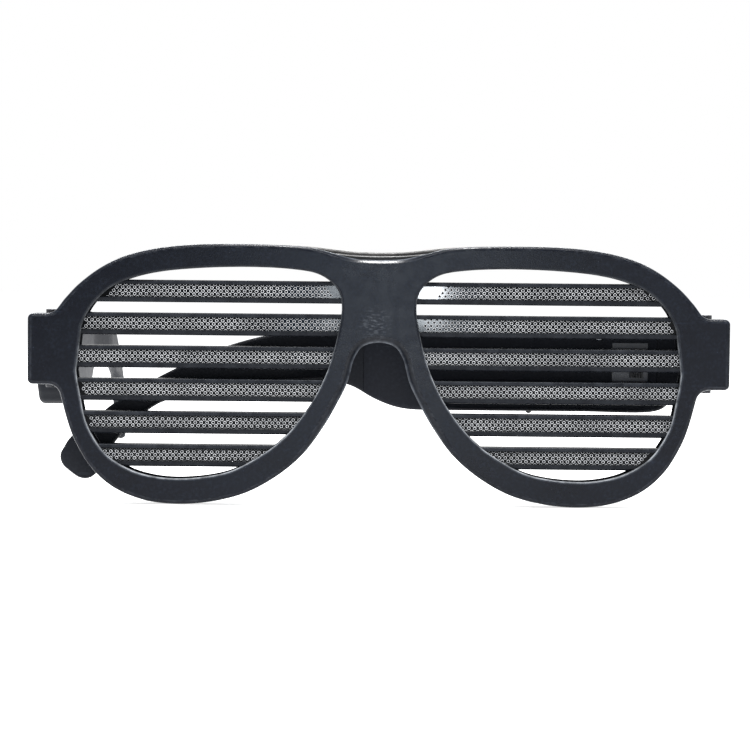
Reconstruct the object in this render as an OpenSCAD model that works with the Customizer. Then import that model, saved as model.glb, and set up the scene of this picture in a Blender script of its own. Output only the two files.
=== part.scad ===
// LED party glasses: a two-shell frame that traps six light bars per eye,
// and two folding temples that hold the battery, the control board and the controls.
// Origin: where the lens mid-height line meets the middle plane, on the frame's front face.
// +X is to the right seen from the front, +Y runs back towards the ears, +Z is up.

/* [Frame] */
// Overall width over the end lugs
frame_w = 160; // [156:1:164]
// Depth of the front shell
front_t = 4.5; // [4:0.1:5]
// Depth of the rear shell
rear_t = 3.5; // [3.2:0.1:4.5]
// Rounding of the front shell's outer edge
front_round = 0.8; // [0.4:0.1:1]
// Width of the chamfer round the nose arch
nose_round = 1.6; // [1:0.1:1.8]
// Rounding of the rear shell's outer edge
rear_round = 1.2; // [0.6:0.1:1.4]
// Rounding of the lens opening's edge
opening_round = 0.45; // [0.3:0.05:0.6]
// How far the front shell's top edge dips below the rear shell's at the bridge
bridge_dip = 1.7; // [0:0.1:2.2]
// Depth of the end blocks that carry the hinges
lug_t = 10.5; // [10:0.1:10.8]
// Top of the lugs
lug_top = 13.3; // [12.8:0.1:13.8]
// Bottom of the lugs
lug_bottom = -2.8; // [-3.4:0.1:-2.2]

/* [Light bars] */
// Light bars per eye
bars = 6; // [6]
// Distance from one bar to the next
bar_pitch = 7.5; // [7.4:0.1:7.8]
// Height of a bar
bar_h = 4.8; // [4.4:0.1:5]
// How far the bars sit behind the frame's front face
bar_recess = 1.2; // [0.9:0.1:1.6]
// Depth of a bar from front to rear
bar_t = 5.8; // [5.4:0.1:6]
// How far a bar's ends reach into the rims
bar_seat = 1.5; // [1:0.1:1.8]
// Wall above the clear strip
bar_top_wall = 0.9; // [0.7:0.05:1]
// Wall below the clear strip
bar_bottom_wall = 0.95; // [0.8:0.05:1.2]
// Thickness of the clear strip
strip_t = 1; // [0.8:0.1:1.2]
// Thickness of the LED boards
board_t = 0.8; // [0.6:0.1:1]
// Distance from one LED to the next
led_pitch = 5.4; // [4.5:0.1:7]

/* [Hinges] */
// Distance of the hinge axis inboard of the lug's end
hinge_in = 4; // [3.8:0.1:4.2]
// Distance of the hinge axis behind the front face
hinge_y = 14.8; // [14.6:0.1:15]
// Radius of the hinge pins
pin_r = 1; // [0.8:0.05:1.2]
// Radius of the knuckles
knuckle_r = 2.2; // [2:0.05:2.4]
// Radius of the pins' heads
pin_head_r = 1.3; // [1.2:0.05:1.6]
// Height of the pins' heads
pin_head_h = 0.9; // [0.6:0.1:1.2]

/* [Temples] */
// Thickness of the temple's body
body_t = 6.5; // [6.2:0.1:6.6]
// Thickness of the slim arm
arm_t = 3; // [2.6:0.1:3.2]
// How far the arm bows in towards the head
arm_bow = 3.3; // [2.5:0.1:3.4]
// Height of the body's top edge
body_top = 12.2; // [11.6:0.1:12.4]
// Height of the body's bottom edge
body_bottom = -8.6; // [-9:0.1:-8.2]
// Length of the body from the hinge
body_len = 82; // [80:1:84]
// Thickness of the inner cover
cover_t = 1.6; // [1.4:0.1:1.8]
// Thickness of the temple shell's walls
wall = 1.2; // [1:0.1:1.4]
// Rounding of the temple's edges
temple_round = 1.1; // [0.6:0.1:1.3]

/* [Controls] */
// Width of the switch recess
recess_w = 8.3; // [8:0.1:9]
// Height of the switch recess
recess_h = 9.5; // [9:0.1:10]
// Depth of the switch recess
recess_t = 0.6; // [0.4:0.1:0.8]
// Travel of the power slider
slider_travel = 2.8; // [2:0.1:3]
// Radius of the mode button
button_r = 0.75; // [0.6:0.05:1]
// How far the mode button stands out
button_out = 0.65; // [0.5:0.05:0.8]

/* [Clearances] */
// Gap between pieces that drop into each other
fit = 0.1; // [0.08:0.01:0.15]
// Radial gap between a pin and its bore
run = 0.05; // [0.03:0.01:0.08]
// Gap between the moving knuckle and the fixed ones
hinge_gap = 0.3; // [0.25:0.05:0.4]

/* [Hidden] */
sides = [-1, 1];
side_name = ["left", "right"];
function bar_names(piece) = [for (s = side_name, i = [1:bars]) str(piece, "_", s, "_", i)];

frame_t = front_t + rear_t;
half_w = frame_w / 2;
hinge_x = half_w - hinge_in;
steps = 4;
round_levels = [0, 30, 60, 90];
lug_corner = 1.2;
lug_top_fillet = 3.5;
lug_bottom_fillet = 3;
// Where the fillets' centres sit inboard of the lug's end
lug_top_in = 4.1;
lug_bottom_in = 4.6;
// Height of the ears and of the knuckle between them
ear_top = lug_top - 0.2;
ear_bottom = lug_bottom - 0.4;
ear_h = 3.2;
knuckle_top = ear_top - ear_h - hinge_gap;
knuckle_bottom = ear_bottom + ear_h + hinge_gap;
// The temple's own frame: t = 0 is its inner face, s runs back from the hinge axis
axis_t = 2.5;
butt_s = lug_t + hinge_gap - hinge_y;
bar_top = bar_h / 2;
pocket_top = bar_top - bar_top_wall;
pocket_bottom = -bar_top + bar_bottom_wall;
strip_y = bar_recess + 0.45;
ledge_y = strip_y + strip_t;
ledge = 0.25;
board_y = ledge_y + 1.25;
pocket_y = board_y + board_t;
led_t = 0.6;
flex_t = 0.3;
flex_w = 1;
// The wide chamfer stays within this half-width and below this height, and fades out beyond them
chamfer_x = 12;
chamfer_z = 10;
chamfer_fade_x = 8;
chamfer_fade_z = 4;
// Width of the lug's end, where the rear edge is nearly sharp
lug_end = 8;
lug_fade = 3;
lug_rear_round = 0.4;

// Curves
function curve_at(a, b, c, d, t) = 0.5 * (2 * b + (c - a) * t
    + (2 * a - 5 * b + 4 * c - d) * t * t + (3 * b - a - 3 * c + d) * t * t * t);
function closed_curve(k, n) = let (m = len(k)) [for (i = [0:m - 1], j = [0:n - 1])
    curve_at(k[(i + m - 1) % m], k[i], k[(i + 1) % m], k[(i + 2) % m], j / n)];
function open_curve(k, n) = let (m = len(k)) concat([for (i = [0:m - 2], j = [0:n - 1])
    curve_at(k[max(i - 1, 0)], k[i], k[i + 1], k[min(i + 2, m - 1)], j / n)], [k[m - 1]]);
function arc_points(c, r, a0, a1, n) = [for (i = [0:n]) let (a = a0 + (a1 - a0) * i / n)
    c + r * [cos(a), sin(a)]];
function reversed(p) = [for (i = [len(p) - 1:-1:0]) p[i]];
function mirrored(p) = [for (q = p) [-q.x, q.y]];
function smooth(x) = let (c = min(max(x, 0), 1)) c * c * (3 - 2 * c);
// Outward normal of a closed outline that runs anticlockwise
function normal_at(p, i) = let (m = len(p), t = p[(i + 1) % m] - p[(i + m - 1) % m])
    [t.y, -t.x] / norm(t);
function grown(p, d) = [for (i = [0:len(p) - 1]) p[i] + d * normal_at(p, i)];

// Outer outline of the frame, right half from the bridge round to the nose arch.
// The knots are widths and heights read off a frame of 80 mm half-width. On a wider or narrower
// frame the bridge and the nose keep their size and the eyes take up the difference.
eye_stretch = half_w - 80;
function wide(p) = [p.x + eye_stretch * smooth((p.x - 20) / 40), p.y];
function all_wide(points) = [for (p = points) wide(p)];
top_dip = [[0, 1], [5.5, 0.92], [10.5, 0.5], [15.5, 0.12]];
top_edge = [27.8, 27.95, 28.45, 29];
rim_top = [[22, 29.35], [32, 29.5], [42, 29.3], [50.5, 28.4], [57.8, 26.6], [63.4, 23.9], [68.3, 20.2],
    [71.7, 16.6]];
rim_bottom = [[72.4, -5.4], [70.9, -11], [69, -15.9], [65.4, -21.7], [60.3, -26.2], [53.5, -29],
    [46, -29.9], [38, -29.3], [30, -27.2], [22.8, -23.2], [16.8, -18], [12.3, -11.8],
    [9.2, -6.3], [7.3, -2.4], [6.3, 1], [5.2, 4], [3.1, 6.4]];
arch_top = 7.3;
function rim_half(dip) = concat(
    open_curve(all_wide(concat([for (i = [0:3]) [top_dip[i].x, top_edge[i] - dip * top_dip[i].y]],
        rim_top)), steps),
    arc_points([half_w - lug_top_in, lug_top + lug_top_fillet], lug_top_fillet, 215, 270, 4),
    arc_points([half_w - lug_corner, lug_top - lug_corner], lug_corner, 90, 0, 3),
    arc_points([half_w - lug_corner, lug_bottom + lug_corner], lug_corner, 0, -90, 3),
    arc_points([half_w - lug_bottom_in, lug_bottom - lug_bottom_fillet], lug_bottom_fillet, 90, 160, 4),
    open_curve(all_wide(concat(rim_bottom, [[0, arch_top]])), steps));
function rim_outline(dip) = let (h = rim_half(dip), n = len(h))
    concat(reversed(h), [for (i = [1:n - 2]) [-h[i].x, h[i].y]]);
front_outline = rim_outline(bridge_dip);
rear_outline = rim_outline(0);

// Lens opening of the right eye
opening_knots = [[29.5, 24.5], [20, 24.1], [13.6, 22.9], [9.6, 19.6], [8.5, 15.3], [9.4, 9],
    [11.2, 2.1], [13.9, -4.2], [17.2, -9.5], [21.4, -14.6], [26, -18.4], [32.6, -22.2],
    [38.5, -23.8], [45.5, -24.4], [51.5, -23.9], [57, -22.1], [62.4, -18.4], [66.5, -12],
    [68.7, -5.6], [69.7, 1.2], [68.9, 7.6], [66.2, 14.1], [61.8, 19.1], [56.5, 21.7],
    [49.5, 23.3], [40, 24.2]];
opening = closed_curve(all_wide(opening_knots), 3);
// The top of the opening, from its outer lower end to the bridge, which the flex follows
flex_from = 48;
flex_to = len(opening) + 8;

function edge_r(p) = front_round + (nose_round - front_round)
    * (1 - smooth((abs(p.x) - chamfer_x) / chamfer_fade_x))
    * (1 - smooth((p.y - chamfer_z) / chamfer_fade_z));
// The rear edge is rounded all round but nearly sharp on the lugs, where the hinge blocks sit
function rear_edge_r(p) = rear_round + (lug_rear_round - rear_round)
    * smooth((abs(p.x) - half_w + lug_end) / lug_fade);

// Helpers
module upright() rotate([90, 0, 0]) mirror([0, 0, 1]) children();
// A slab between two depths whose outline lies in the X-Z plane
module slab(y0, y1) translate([0, y0, 0]) upright() linear_extrude(y1 - y0) children();
// Triangles between rings of equal count, the first ring seen from the front
module loft(rings) {
    n = len(rings[0]);
    m = len(rings);
    polyhedron(points = [for (r = rings) each r],
        faces = concat(
            [[for (i = [n - 1:-1:0]) i]],
            [for (k = [0:m - 2], i = [0:n - 1]) let (j = (i + 1) % n)
                each [[k * n + i, k * n + j, (k + 1) * n + i],
                    [k * n + j, (k + 1) * n + j, (k + 1) * n + i]]],
            [[for (i = [0:n - 1]) (m - 1) * n + i]]));
}
// One half shell before it is cut: its face at y = 0 has a rounded edge and it runs back to a depth
module rim_solid(outline, radii, depth) {
    rings = [for (a = round_levels) [for (i = [0:len(outline) - 1])
        let (q = outline[i] - radii[i] * (1 - sin(a)) * normal_at(outline, i))
        [q.x, radii[i] * (1 - cos(a)), q.y]]];
    loft(concat(rings, [[for (p = outline) [p.x, depth, p.y]]]));
}
// The tool that cuts a lens opening with a rounded edge at y = 0
module opening_tool(depth) {
    flare = [for (a = [0, 45, 90]) let (g = opening_round * (1 - sin(a)))
        [for (i = [0:len(opening) - 1]) let (q = opening[i] + g * normal_at(opening, i))
            [q.x, opening_round * (1 - cos(a)), q.y]]];
    loft(concat([[for (p = flare[0]) [p.x, -1, p.z]]], flare, [[for (p = opening) [p.x, depth + 0.1, p.y]]]));
}
// Turns a shell that faces forward into one that faces the wearer
module from_rear() translate([0, frame_t, 0]) mirror([0, 1, 0]) children();
function bar_z(i) = ((bars + 1) / 2 - i) * bar_pitch;
module both() {
    children();
    mirror([1, 0, 0]) children();
}
module side(s) {
    if (s > 0) children();
    else mirror([1, 0, 0]) children();
}
// The band of bar i that lies in the opening grown by g
module band(i, g, low, high) intersection() {
    polygon(grown(opening, g));
    translate([0, bar_z(i) + low]) square([half_w, high - low]);
}
module bar_notches(y0, y1) for (i = [1:bars])
    slab(y0, y1) band(i, bar_seat + fit, -bar_top - fit, bar_top + fit);

// Screws through the rear shell into the front shell, at the bridge and below each eye
screw_spots = all_wide([[4.6, 17], [45, -27]]);
screw_r = 0.7;
screw_head_r = 1.3;
screw_head_t = 0.9;
screw_len = 5;
screw_y = frame_t - 0.5;
module screw(length) {
    rotate([90, 0, 0]) cylinder(h = length, r = screw_r, $fn = 24);
    rotate([90, 0, 0]) difference() {
        cylinder(h = screw_head_t, r = screw_head_r, $fn = 32);
        for (a = [0, 90]) rotate(a) translate([-0.8, -0.15, -0.1]) cube([1.6, 0.3, 0.5]);
    }
}
module screw_bore(depth, clear) translate([0, clear, 0]) rotate([90, 0, 0]) {
    cylinder(h = depth + clear, r = screw_r + run, $fn = 24);
    cylinder(h = screw_head_t + fit + clear, r = screw_head_r + fit, $fn = 32);
}
module at_screws() both() for (p = screw_spots) translate([p.x, screw_y, p.y]) children();

// One ribbon from the right rim over the bridge to the left rim
module flex_route(g) {
    inner = grown(opening, bar_seat + 0.1 - g);
    outer = grown(opening, bar_seat + 0.1 + flex_w + g);
    n = len(opening);
    picked = [for (i = [flex_from - (g > 0 ? 1 : 0):flex_to]) i % n];
    right_in = [for (i = picked) inner[i]];
    right_out = [for (i = picked) outer[i]];
    polygon(concat(right_out, mirrored(reversed(right_out)), mirrored(right_in), reversed(right_in)));
}

module front_frame() color("#20232a") difference() {
    rim_solid(front_outline, [for (p = front_outline) edge_r(p)], front_t);
    both() {
        opening_tool(front_t);
        bar_notches(bar_recess - fit, front_t + 1);
    }
    slab(board_y - fit, front_t + 1) flex_route(fit);
    at_screws() screw_bore(screw_len, 1);
}

module rear_frame() color("#25262b") difference() {
    from_rear() rim_solid(rear_outline, [for (p = rear_outline) rear_edge_r(p)], rear_t);
    both() {
        from_rear() opening_tool(rear_t);
        bar_notches(front_t - 1, bar_recess + bar_t + fit);
        for (z = peg_z) translate([hinge_x, frame_t + 1, z]) rotate([90, 0, 0])
            cylinder(h = peg_len + fit + 1, r = peg_r + fit, $fn = 32);
        block_screw_place() screw_bore(screw_len, 1);
    }
    at_screws() screw_bore(screw_len, 1);
}
// The end block behind each lug: a plate with two ears, located by pegs and held by one screw
peg_z = [0.9, 9.6];
peg_r = 1.1;
peg_len = 2.4;
block_corner = 1;
block_screw_z = lug_top / 2 + lug_bottom / 2;
module block_screw_place() translate([hinge_x, lug_t - 0.5, block_screw_z]) children();
block_mid_x = half_w - 3.8;
block_half_w = 3.4;
block_half_h = lug_top / 2 - lug_bottom / 2 - 0.4;
quadrants = [[1, 1, 0], [-1, 1, 90], [-1, -1, 180], [1, -1, 270]];
module block_plate() slab(frame_t, lug_t) polygon([for (c = quadrants)
    each arc_points([block_mid_x + c.x * (block_half_w - block_corner),
        block_screw_z + c.y * (block_half_h - block_corner)], block_corner, c.z, c.z + 90, 3)]);
module hinge_block() color("#25262b") difference() {
    union() {
        block_plate();
        for (z = peg_z) translate([hinge_x, frame_t + 0.5, z]) rotate([90, 0, 0])
            cylinder(h = peg_len + 0.5, r = peg_r, $fn = 32);
        for (z = [ear_bottom, ear_top - ear_h]) translate([hinge_x, 0, z]) {
            translate([0, hinge_y, 0]) cylinder(h = ear_h, r = knuckle_r, $fn = 40);
            translate([-knuckle_r, frame_t + 0.5, 0]) cube([2 * knuckle_r, hinge_y - frame_t - 0.5, ear_h]);
        }
    }
    translate([hinge_x, hinge_y, ear_bottom - 1])
        cylinder(h = ear_top - ear_bottom + 2, r = pin_r + run, $fn = 32);
    block_screw_place() screw_bore(screw_len, 1);
}

module hinge_pin() color("#33353a") translate([hinge_x, hinge_y, ear_bottom - pin_head_h]) {
    cylinder(h = ear_top - ear_bottom + 2 * pin_head_h, r = pin_r, $fn = 32);
    for (z = [0, ear_top - ear_bottom + pin_head_h]) translate([0, 0, z])
        cylinder(h = pin_head_h, r = pin_head_r, $fn = 32);
}

// A bar is one channel section, cut to the opening's outline grown by the seat
bar_section = [[bar_recess, bar_top - 0.2], [bar_recess + 0.2, bar_top], [bar_recess + bar_t - 1, bar_top],
    [bar_recess + bar_t, bar_top - 0.9], [bar_recess + bar_t, 0.9 - bar_top],
    [bar_recess + bar_t - 1, -bar_top], [bar_recess + 0.35, -bar_top], [bar_recess, 0.35 - bar_top],
    [bar_recess, pocket_bottom], [ledge_y, pocket_bottom], [ledge_y, pocket_bottom + ledge],
    [pocket_y, pocket_bottom + ledge], [pocket_y, pocket_top - ledge], [ledge_y, pocket_top - ledge],
    [ledge_y, pocket_top], [bar_recess, pocket_top]];
module light_bar(s, i) color("#1e2025") side(s) intersection() {
    translate([0, 0, bar_z(i)]) rotate([90, 0, 90]) linear_extrude(half_w) polygon(bar_section);
    slab(0, frame_t) polygon(grown(opening, bar_seat));
}
module clear_strip(s, i) color("#c8d0d8") side(s)
    slab(strip_y, ledge_y) band(i, bar_seat - 0.6, pocket_bottom + fit / 2, pocket_top - fit / 2);
module led_board(s) color("#1d4a33") side(s) for (i = [1:bars])
    slab(board_y, pocket_y) band(i, bar_seat, pocket_bottom + ledge + fit, pocket_top - ledge - fit);
// Ends of the opening at a height, which the LEDs keep inside of
function span_at(z) = let (n = len(opening), c = [for (i = [0:n - 1])
    let (a = opening[i], b = opening[(i + 1) % n]) if ((a.y - z) * (b.y - z) <= 0 && a.y != b.y)
        a.x + (b.x - a.x) * (z - a.y) / (b.y - a.y)]) [min(c), max(c)];
module leds(s) color("#f2efe2") side(s) for (i = [1:bars]) {
    z = bar_z(i);
    low = max(span_at(z - 1)[0], span_at(z + 1)[0]) + 2;
    high = min(span_at(z - 1)[1], span_at(z + 1)[1]) - 2;
    count = floor((high - low) / led_pitch);
    for (k = [0:count])
        translate([(low + high) / 2 + (k - count / 2) * led_pitch - 0.8, board_y - led_t, z - 0.3])
            cube([1.6, led_t, 0.8]);
}
module rim_flex() color("#8a5a2a") slab(board_y, board_y + flex_t) flex_route(0);
module frame_screws() color("#5a5c60") at_screws() screw(screw_len);

// Temple stations: upper and lower edge points as [s, z], front to tip. The arm's run from the body's end.
arm_up = [[8, 10.9], [20, 8.5], [30, 5.6], [40, 1.1], [48, -3.1], [55.5, -7.8], [60.5, -12],
    [64.8, -15.2], [66.7, -18]];
arm_low = [[-5.6, -6.3], [0.6, -3], [7, -1.9], [18, -2.2], [27, -3.2], [36, -4.9], [44.5, -7.4],
    [50.3, -11.8], [54.2, -15.8], [56.9, -20], [59.1, -23.8]];
function behind_body(points) = [for (p = points) [body_len + p.x, p.y]];
edge_up = concat([[butt_s, body_top - 0.3], [4, body_top], [9, body_top], [14, body_top], [30, body_top]],
    behind_body([[-22, body_top], [-10, body_top - 0.1], [-5.5, body_top - 0.2], [0, body_top - 0.5]]),
    behind_body(arm_up));
edge_low = concat([[butt_s, ear_bottom + 0.9], [4, ear_bottom + 0.7], [8, -6], [13, body_bottom],
    [30, body_bottom]], behind_body([[-22, body_bottom], [-12, body_bottom + 0.3]]), behind_body(arm_low));
tip_r = 3.2;
tip_dir = [0.63, -0.776];
bow_len = 20;
module temple_solid() {
    up = open_curve(edge_up, 2);
    low = open_curve(edge_low, 2);
    n = len(up);
    body = [for (i = [0:n - 1]) station(up[i], low[i], 0)];
    tip = [for (a = [22.5, 45, 67.5, 90]) let (u = up[n - 1], l = low[n - 1], v = (u - l) / norm(u - l),
        grow = tip_r * sin(a) * tip_dir, cut = tip_r * (1 - cos(a)))
        station(u + grow - v * cut, l + grow + v * cut, 0.9 * (1 - cos(a)))];
    loft(concat(body, tip));
}
// One cross-section: a rounded rectangle between the upper and lower points
function station(u, l, thin) = let (
    s = (u.x + l.x) / 2,
    k = smooth((s - body_len + 2) / bow_len),
    t0 = -arm_bow * k + thin,
    t1 = body_t + (arm_t - arm_bow - body_t) * k - thin,
    r = min(temple_round, (t1 - t0) / 2 - 0.05),
    v = (u - l) / norm(u - l),
    corners = [[t0 + r, l + v * r, 180], [t1 - r, l + v * r, 270],
        [t1 - r, u - v * r, 0], [t0 + r, u - v * r, 90]])
    [for (c = corners, a = [0, 45, 90]) let (q = c[1] + v * r * sin(c[2] + a))
        [c[0] + r * cos(c[2] + a) - axis_t, q.x, q.y]];

cover_s0 = 11.5;
cover_s1 = body_len - 2.5;
cavity_s0 = 13.5;
cavity_s1 = body_len - 12.5;
cavity_low = body_bottom + wall + 0.2;
cavity_high = body_top - wall - 0.2;
cavity_t1 = body_t - wall;
boss_r = 1.7;
// The upper bosses run into the cavity's roof
screw_high = cavity_high - boss_r + 0.3;
screw_low = -4.8;
screw_front_s = 25;
screw_rear_s = cavity_s1 + 2;
cover_screws = [[screw_front_s, screw_high], [screw_rear_s, screw_high], [screw_front_s, screw_low]];
function local_t(t) = t - axis_t;
module box(t0, t1, s0, s1, z0, z1) translate([local_t(t0), s0, z0]) cube([t1 - t0, s1 - s0, z1 - z0]);
module at_cover_screws() for (p = cover_screws)
    translate([local_t(0.4), p[0], p[1]]) rotate([0, 0, 90]) children();

module temple_shell() difference() {
    temple_solid();
    box(-1, cover_t + fit, cover_s0, cover_s1, -20, 20);
    difference() {
        box(cover_t - 1, cavity_t1, cavity_s0, cavity_s1, cavity_low, cavity_high);
        for (p = cover_screws) translate([local_t(0), p[0], p[1]]) rotate([0, 90, 0])
            cylinder(h = body_t, r = boss_r, $fn = 32);
    }
    at_cover_screws() screw_bore(4.5, 2);
    hinge_cuts();
}
// Room for the fixed ears, the pin and the lug while the temple turns
module hinge_cuts() {
    ear_room = knuckle_r + 0.4;
    translate([0, 0, knuckle_bottom - 1])
        cylinder(h = knuckle_top - knuckle_bottom + 2, r = pin_r + run, $fn = 32);
    for (z = [[ear_bottom - 2, knuckle_bottom], [knuckle_top, ear_top + 2]])
        translate([-axis_t - 2, butt_s - 1, z[0]])
            cube([axis_t + 2 + ear_room, ear_room - butt_s + 1, z[1] - z[0]]);
    difference() {
        translate([-axis_t - 2, butt_s - 1, ear_bottom - 2]) cube([axis_t + 2, 1 - butt_s, 20]);
        translate([0, 0, ear_bottom - 2]) cylinder(h = 20, r = -butt_s - 0.05, $fn = 48);
    }
}
module temple_cover() difference() {
    intersection() {
        temple_solid();
        box(-1, cover_t, cover_s0 + fit, cover_s1 - fit, -20, 20);
    }
    at_cover_screws() screw_bore(4.5, 2);
}
module temple_screws() at_cover_screws() screw(4);

module place_right() translate([hinge_x, hinge_y, 0]) rotate([0, 0, 90]) children();
module place_left() translate([-hinge_x, hinge_y, 0]) mirror([1, 0, 0]) children();

// Controls on the right temple
recess_s = 13.6;
recess_z = -2.1;
slider_s = recess_s + 1.2;
slider_w = 3;
slider_z = -0.6;
slider_h = 5.5;
stem_w = 1.4;
stem_h = 1.6;
slider_mid_z = slider_z + slider_h / 2;
button_s = 41;
button_t = 3.4;
switch_t = 2.4;
// The control board stands clear of the button's flange when that is pressed
board_inset = 4.1;
board_s0 = cavity_s0 + 1;
board_s1 = cavity_s1 - 1.5;
control_board_t = 1;
board_low = cavity_low + 1.2;
board_high = cavity_high - 0.3;
socket_s = 56;
socket_w = 7.5;
socket_inset = 1.9;
socket_h = 2.2;
socket_in = 5;
flange_z = cavity_low + 0.1;
mode_switch_w = 3.6;
mode_switch_h = 2.05;
mode_switch_gap = 1.15;

module temple_right_shell() color("#1b1d22") place_right() difference() {
    temple_shell();
    translate([local_t(button_t), button_s, body_bottom - 1]) cylinder(h = 4, r = button_r + run, $fn = 32);
    box(socket_inset - 0.15, socket_inset + socket_h + 0.15, socket_s - socket_w / 2 - 0.15,
        socket_s + socket_w / 2 + 0.15, body_bottom - 1, cavity_low + 1);
}
module temple_right_cover() color("#1d1f25") place_right() difference() {
    temple_cover();
    box(-1, recess_t, recess_s, recess_s + recess_w, recess_z, recess_z + recess_h);
    box(0, cover_t + 1, slider_s + slider_w / 2 - stem_w / 2 - 0.3,
        slider_s + slider_w / 2 + stem_w / 2 + slider_travel + 0.3,
        slider_mid_z - stem_h / 2 - 0.15, slider_mid_z + stem_h / 2 + 0.15);
}
module temple_left_shell() color("#1b1d22") place_left() temple_shell();
module temple_left_cover() color("#1d1f25") place_left() temple_cover();

module control_board() color("#1d4a33") place_right() difference() {
    box(board_inset, board_inset + control_board_t, board_s0, board_s1, board_low, board_high);
    for (p = cover_screws) translate([local_t(board_inset - 1), p[0], p[1]]) rotate([0, 90, 0])
        cylinder(h = 3, r = boss_r + 0.3, $fn = 32);
}
// The slide switch's housing, with a channel in which the slider's stem runs
module power_switch() color("#9a9ca0") place_right() difference() {
    box(switch_t, board_inset, recess_s + 0.2, recess_s + 9.2, slider_mid_z - 1.8, slider_mid_z + 1.8);
    box(switch_t - 1, switch_t + 1, slider_s + slider_w / 2 - stem_w / 2 - 0.3,
        slider_s + slider_w / 2 + stem_w / 2 + slider_travel + 0.3,
        slider_mid_z - stem_h / 2 - 0.15, slider_mid_z + stem_h / 2 + 0.15);
}
module power_slider() color("#2a2c31") place_right() difference() {
    union() {
        box(-0.4, recess_t - 0.1, slider_s, slider_s + slider_w, slider_z, slider_z + slider_h);
        box(0, switch_t + 0.8, slider_s + slider_w / 2 - stem_w / 2, slider_s + slider_w / 2 + stem_w / 2,
            slider_mid_z - stem_h / 2, slider_mid_z + stem_h / 2);
    }
    for (k = [0.6:0.6:2.4])
        box(-0.5, -0.2, slider_s + k - 0.12, slider_s + k + 0.12, slider_z - 1, slider_z + slider_h + 1);
}
// A domed pin with a flange inside the wall
module mode_button() color("#26282d") place_right() translate([local_t(button_t), button_s, 0]) {
    dome = button_r;
    translate([0, 0, body_bottom - button_out + dome]) {
        cylinder(h = flange_z - body_bottom + button_out - dome + 0.5, r = button_r, $fn = 32);
        intersection() {
            sphere(r = dome, $fn = 32);
            translate([-2, -2, -2]) cube([4, 4, 2]);
        }
    }
    translate([0, 0, flange_z]) cylinder(h = 0.6, r = button_r + 0.5, $fn = 32);
}
module mode_switch() color("#9a9ca0") place_right()
    box(button_t - 1.7, board_inset, button_s - mode_switch_w / 2, button_s + mode_switch_w / 2,
        flange_z + mode_switch_gap, flange_z + mode_switch_gap + mode_switch_h);
module charging_socket() color("#b8babd") place_right() difference() {
    box(socket_inset, socket_inset + socket_h, socket_s - socket_w / 2, socket_s + socket_w / 2,
        body_bottom + 0.3, body_bottom + 0.3 + socket_in);
    box(socket_inset + 0.3, socket_inset + socket_h - 0.3, socket_s - socket_w / 2 + 0.3,
        socket_s + socket_w / 2 - 0.3, body_bottom - 1, body_bottom + 0.3 + socket_in - 0.6);
}
battery_s0 = screw_front_s + 3;
battery_s1 = cavity_s1 - 1.5;
battery_low = screw_low + boss_r + 0.1;
battery_high = screw_high - boss_r - 0.5;
pad_t = 0.5;
module battery_block(t0, t1) place_left() box(t0, t1, battery_s0, battery_s1, battery_low, battery_high);
module battery() color("#b9bcc2") battery_block(cover_t + 0.4, cavity_t1 - pad_t - 0.1);
module battery_pad() color("#3a3a3c") battery_block(cavity_t1 - pad_t - 0.05, cavity_t1 - 0.05);

front_frame();
rear_frame();
frame_screws();
rim_flex();
for (k = [0, 1]) {
    s = sides[k];
    for (i = [1:bars]) {
        light_bar(s, i);
        clear_strip(s, i);
    }
    side(s) hinge_block();
    led_board(s);
    leds(s);
    side(s) hinge_pin();
}
temple_right_shell();
temple_right_cover();
color("#5a5c60") place_right() temple_screws();  // temple_right_screws
temple_left_shell();
temple_left_cover();
color("#5a5c60") place_left() temple_screws();  // temple_left_screws
control_board();
power_switch();
power_slider();
mode_switch();
mode_button();
charging_socket();
battery();
battery_pad();
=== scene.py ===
import bpy
import bmesh
import numpy as np
from math import radians, sin, cos, pi
from mathutils import Matrix, Vector


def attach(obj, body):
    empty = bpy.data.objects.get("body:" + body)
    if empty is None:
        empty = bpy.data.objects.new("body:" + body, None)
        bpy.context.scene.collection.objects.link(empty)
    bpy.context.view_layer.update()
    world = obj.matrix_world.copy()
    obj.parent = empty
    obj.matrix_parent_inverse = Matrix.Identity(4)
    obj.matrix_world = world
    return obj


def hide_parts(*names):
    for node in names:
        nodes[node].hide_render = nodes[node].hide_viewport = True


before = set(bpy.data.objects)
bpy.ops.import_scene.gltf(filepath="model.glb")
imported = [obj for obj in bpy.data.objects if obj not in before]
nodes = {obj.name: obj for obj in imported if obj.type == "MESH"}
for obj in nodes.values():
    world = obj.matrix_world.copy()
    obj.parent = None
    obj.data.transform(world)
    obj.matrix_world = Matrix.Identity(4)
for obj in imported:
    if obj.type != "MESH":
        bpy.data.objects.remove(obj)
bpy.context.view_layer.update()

# Louvred LED party glasses. Blender works in metres, and the sizes below are written in millimetres.
mm = 0.001
sides = dict(left=-1, right=1)


# A curve through knots: every span is a cubic that passes its knots along the chord of their neighbours
def throughKnots(knots, perSpan, closed=False):
    k = np.asarray(knots, float)
    n = len(k)
    spans = np.arange(n if closed else n - 1)
    around = [(spans + s) % n if closed else np.clip(spans + s, 0, n - 1) for s in (-1, 0, 1, 2)]
    a, b, c, d = (k[i][:, None, :] for i in around)
    t = np.linspace(0, 1, perSpan, endpoint=False)[None, :, None]
    p = 0.5 * (2 * b + (c - a) * t + (2 * a - 5 * b + 4 * c - d) * t ** 2 + (3 * b - a - 3 * c + d) * t ** 3)
    p = p.reshape(-1, k.shape[1])
    return p if closed else np.vstack([p, k[-1]])


# Points on a circle about a centre, at even steps between two angles in degrees
def arcPoints(centre, radius, start, end, count):
    a = np.radians(np.linspace(start, end, count))
    return centre + radius * np.column_stack([np.cos(a), np.sin(a)])


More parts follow.
